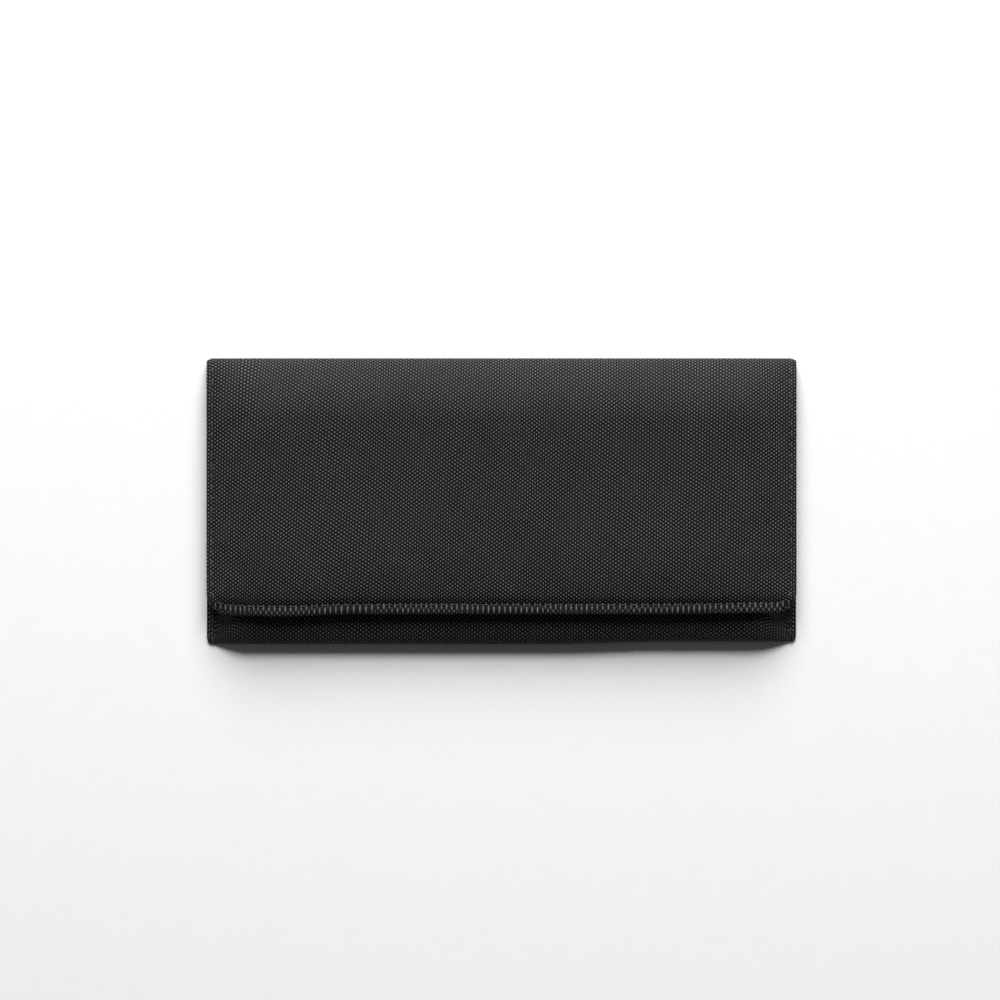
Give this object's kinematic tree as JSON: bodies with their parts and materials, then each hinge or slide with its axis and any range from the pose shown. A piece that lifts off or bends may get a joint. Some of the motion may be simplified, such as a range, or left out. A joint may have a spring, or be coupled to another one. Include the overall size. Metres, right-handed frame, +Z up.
{
  "type": "passport holder wallet",
  "caption": "Long woven-fabric travel wallet for passports and boarding passes, with a padded flap that folds over its front, card pockets and an inner zip pocket.",
  "frame": {"origin": "middle of the back panel's outer face, which the wallet lies on", "axes": "+X along the width, +Y across the height to the folded spine, +Z up through the thickness"},
  "size_m": [0.22, 0.106, 0.0133],
  "materials": {
    "outer_fabric": "plain woven, matt",
    "lining_fabric": "fine plain woven, slight sheen",
    "stiffener": "pressed sheet",
    "foam": "open cell foam",
    "zipper_tape": "woven tape",
    "zipper_coil": "moulded nylon",
    "zipper_metal": "satin black enamel",
    "hook_tape": "moulded hooks",
    "loop_tape": "brushed loops"
  },
  "bodies": {
    "pouch": {"back_panel": "outer_fabric", "front_panel": "outer_fabric", "back_lining": "lining_fabric", "front_lining": "lining_fabric", "zip_pocket_back": "lining_fabric", "zip_pocket_front": "lining_fabric", "zip_pocket_strip": "lining_fabric", "card_pocket_low": "lining_fabric", "card_pocket_mid": "lining_fabric", "card_pocket_top": "lining_fabric", "back_board": "stiffener", "zipper_tape_lower": "zipper_tape", "zipper_tape_upper": "zipper_tape", "zipper_coil_lower": "zipper_coil", "zipper_coil_upper": "zipper_coil", "zipper_stop_left": "zipper_coil", "zipper_stop_right": "zipper_coil", "hook_patch_left": "hook_tape", "hook_patch_right": "hook_tape"},
    "spine": {"spine_panel": "outer_fabric", "spine_lining": "lining_fabric"},
    "flap": {"flap_panel": "outer_fabric", "flap_foam": "foam", "flap_lining": "lining_fabric", "loop_patch_left": "loop_tape", "loop_patch_right": "loop_tape"},
    "slider": {"zipper_slider": "zipper_metal"},
    "pull": {"zipper_pull": "zipper_metal"}
  },
  "joints": [
    {"name": "spine_fold", "type": "hinge", "parent": "pouch", "child": "spine", "pos_m": [0, 0.052, 0.001], "axis": [-1, 0, 0], "range_deg": [0, 90]},
    {"name": "flap_fold", "type": "hinge", "parent": "spine", "child": "flap", "pos_m": [0, 0.052, 0.0123], "axis": [-1, 0, 0], "range_deg": [0, 90]},
    {"name": "zip_slide", "type": "slide", "parent": "pouch", "child": "slider", "axis": [-1, 0, 0], "range_m": [0, 0.1605]},
    {"name": "pull_lift", "type": "hinge", "parent": "slider", "child": "pull", "pos_m": [0.08026, 0.043, 0.00585], "axis": [0, 1, 0], "range_deg": [0, 14]}
  ]
}
